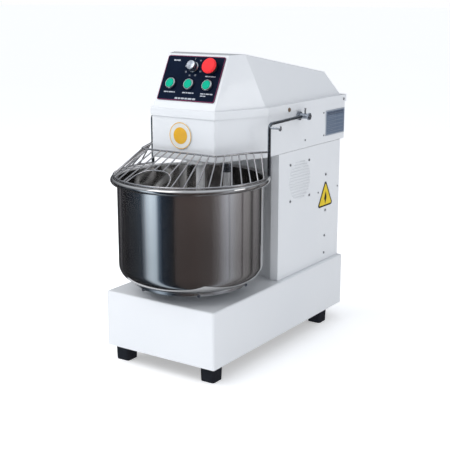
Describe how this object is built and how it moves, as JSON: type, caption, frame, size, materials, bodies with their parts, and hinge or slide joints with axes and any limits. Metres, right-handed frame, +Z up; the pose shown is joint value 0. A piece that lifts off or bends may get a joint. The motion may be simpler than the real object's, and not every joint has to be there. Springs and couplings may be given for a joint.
{
  "type": "spiral dough mixer",
  "caption": "Spiral dough mixer: a turning steel bowl, an offset spiral hook, a fixed breaker bar, a tilting wire guard and a sloping control panel on a painted column.",
  "frame": {"origin": "centre of the whole machine's box in plan, at floor level under the feet", "axes": "+Z up; -Y to the front, where the bowl and the control panel are; +X to the right seen from the front"},
  "size_m": [0.4108, 0.7254, 0.773],
  "materials": {
    "white_paint": "gloss",
    "dark_steel": "dark satin",
    "black_rubber": "matt",
    "polished_steel": "polished",
    "bright_steel": "bright",
    "panel_film": "satin film",
    "green_plastic": "gloss",
    "red_plastic": "gloss",
    "black_plastic": "matt",
    "amber_badge": "gloss",
    "blue_grey_plate": "printed",
    "yellow_plate": "printed",
    "cast_iron": "as cast",
    "motor_paint": "satin"
  },
  "bodies": {
    "machine": {"plinth_shell": "white_paint", "base_plate": "dark_steel", "foot_front_left": "black_rubber", "foot_front_right": "black_rubber", "foot_rear_left": "black_rubber", "foot_rear_right": "black_rubber", "column_shell": "white_paint", "rear_cover": "white_paint", "cable_gland": "black_plastic", "head_box": "white_paint", "hood_cover": "white_paint", "control_panel": "panel_film", "button_body_left": "bright_steel", "button_body_centre": "bright_steel", "button_body_right": "bright_steel", "stop_base": "black_plastic", "timer_body": "black_plastic", "front_badge": "amber_badge", "rating_plate": "blue_grey_plate", "warning_plate": "yellow_plate", "lower_bearing": "cast_iron", "upper_bearing": "cast_iron", "motor_shelf": "dark_steel", "gearbox": "cast_iron", "motor": "motor_paint", "electrical_box": "black_plastic", "bowl_bearing": "cast_iron", "bowl_chain": "dark_steel", "hook_bearing": "dark_steel", "drive_belt": "black_rubber", "breaker_bar": "bright_steel", "breaker_bar_flange": "bright_steel", "fan_frame": "black_plastic"},
    "drive": {"drive_shaft": "bright_steel", "drive_pulley": "cast_iron", "drive_sprocket": "dark_steel"},
    "bowl": {"bowl": "polished_steel", "turntable": "bright_steel", "bowl_shaft": "bright_steel", "bowl_sprocket": "dark_steel"},
    "hook": {"dough_hook": "bright_steel", "hook_collar": "dark_steel", "hook_shaft": "bright_steel", "hook_pulley": "cast_iron"},
    "guard": {"guard_cage": "bright_steel", "guard_arm_left": "dark_steel", "guard_arm_right": "dark_steel", "guard_hub_left": "bright_steel", "guard_hub_right": "bright_steel", "guard_end_nut_left": "dark_steel", "guard_end_nut_right": "dark_steel", "guard_shaft": "bright_steel", "guard_set_screw": "dark_steel", "guard_stop_pin": "dark_steel"},
    "fan": {"fan_rotor": "black_plastic"},
    "button_left": {"button_cap_left": "green_plastic"},
    "button_centre": {"button_cap_centre": "green_plastic"},
    "button_right": {"button_cap_right": "green_plastic"},
    "stop": {"stop_button": "red_plastic"},
    "timer": {"timer_knob": "bright_steel"}
  },
  "joints": [
    {"name": "bowl_spin", "type": "hinge", "parent": "machine", "child": "bowl", "pos_m": [-0.0065, -0.16385, 0.2], "axis": [0, 0, 1], "continuous": true},
    {"name": "drive_spin", "type": "hinge", "parent": "machine", "child": "drive", "pos_m": [-0.0065, 0.12675, 0.3], "axis": [0, 0, 1], "continuous": true},
    {"name": "hook_spin", "type": "hinge", "parent": "machine", "child": "hook", "pos_m": [0.0615, -0.10325, 0.4], "axis": [0, 0, 1], "continuous": true},
    {"name": "guard_tilt", "type": "hinge", "parent": "machine", "child": "guard", "pos_m": [-0.0065, 0.09875, 0.609], "axis": [-1, 0, 0], "range_deg": [0, 85]},
    {"name": "fan_spin", "type": "hinge", "parent": "machine", "child": "fan", "pos_m": [0.1322, 0.11475, 0.437], "axis": [1, 0, 0], "continuous": true},
    {"name": "button_left_press", "type": "slide", "parent": "machine", "child": "button_left", "axis": [0, 0.8889, -0.458], "range_m": [0, 0.002], "stiffness_N_per_m": 1500},
    {"name": "button_centre_press", "type": "slide", "parent": "machine", "child": "button_centre", "axis": [0, 0.8889, -0.458], "range_m": [0, 0.002], "stiffness_N_per_m": 1500},
    {"name": "button_right_press", "type": "slide", "parent": "machine", "child": "button_right", "axis": [0, 0.8889, -0.458], "range_m": [0, 0.002], "stiffness_N_per_m": 1500},
    {"name": "stop_press", "type": "slide", "parent": "machine", "child": "stop", "axis": [0, 0.8889, -0.458], "range_m": [0, 0.004]},
    {"name": "timer_turn", "type": "hinge", "parent": "machine", "child": "timer", "pos_m": [-0.0065, -0.14456, 0.73985], "axis": [0, 0.8889, -0.458], "range_deg": [0, 300]}
  ],
  "couplings": [
    {"joint": "drive_spin", "follows": "bowl_spin", "ratio": 6},
    {"joint": "hook_spin", "follows": "bowl_spin", "ratio": 8}
  ]
}
